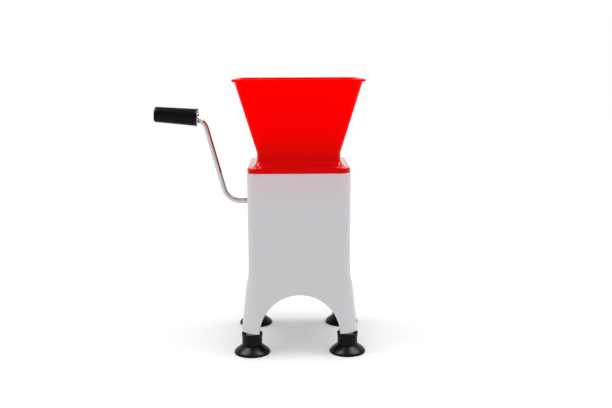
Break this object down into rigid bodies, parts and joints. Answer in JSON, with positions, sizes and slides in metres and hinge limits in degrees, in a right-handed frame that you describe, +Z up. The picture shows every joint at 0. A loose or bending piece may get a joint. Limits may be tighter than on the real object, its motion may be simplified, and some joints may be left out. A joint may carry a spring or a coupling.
{
  "type": "hand crank food grinder",
  "caption": "Hand-cranked kitchen grinder: square red hopper on a white four-legged body with suction feet, a bent steel crank with rolling grip and a toothed rotor.",
  "frame": {"origin": "on the table, midway between the suction feet", "axes": "+Z up, X along the crank shaft with the crank on the -X side, -Y towards the viewer"},
  "size_m": [0.2498, 0.1552, 0.32],
  "materials": {
    "white_shell": "smooth moulded white, semi-gloss",
    "red_hopper": "bright red moulded, semi-gloss",
    "red_chamber": "red moulded, semi-gloss",
    "chromed_rod": "plated steel rod",
    "black_grip": "black moulded, semi-gloss",
    "black_cap": "black moulded, semi-gloss",
    "bright_ferrule": "plated steel tube",
    "zinc_fastener": "zinc-plated steel",
    "nylon_bush": "natural nylon",
    "stainless_hub": "turned stainless steel",
    "stainless_blade": "stamped stainless steel",
    "black_rubber": "black moulded rubber, slight sheen"
  },
  "bodies": {
    "housing": {"housing": "white_shell", "chamber": "red_chamber", "foot_front_left": "black_rubber", "foot_front_right": "black_rubber", "foot_rear_left": "black_rubber", "foot_rear_right": "black_rubber", "bush_left": "nylon_bush", "bush_right": "nylon_bush", "comb_front": "stainless_blade", "comb_rear": "stainless_blade", "comb_screws": "zinc_fastener", "chamber_screws": "zinc_fastener"},
    "hopper": {"hopper": "red_hopper"},
    "crank": {"crank_rod": "chromed_rod", "grip_stop_ring": "zinc_fastener", "grip_push_nut": "zinc_fastener", "thrust_washer": "nylon_bush", "shaft_clip": "zinc_fastener", "rotor_hub": "stainless_hub", "blade_1": "stainless_blade", "blade_2": "stainless_blade", "blade_3": "stainless_blade", "blade_4": "stainless_blade", "blade_5": "stainless_blade", "blade_6": "stainless_blade", "blade_7": "stainless_blade", "blade_spacers": "stainless_hub", "drive_pins": "stainless_hub"},
    "grip": {"grip": "black_grip", "grip_ferrule": "bright_ferrule", "grip_end_cap": "black_cap"}
  },
  "joints": [
    {"name": "hopper_lift", "type": "slide", "parent": "housing", "child": "hopper", "axis": [0, 0, 1], "range_m": [0, 0.04]},
    {"name": "crank_spin", "type": "hinge", "parent": "housing", "child": "crank", "pos_m": [0, 0, 0.1732], "axis": [1, 0, 0], "continuous": true},
    {"name": "grip_spin", "type": "hinge", "parent": "crank", "child": "grip", "pos_m": [-0.14602, 0, 0.27613], "axis": [-0.9968, 0, 0.0802], "continuous": true}
  ]
}
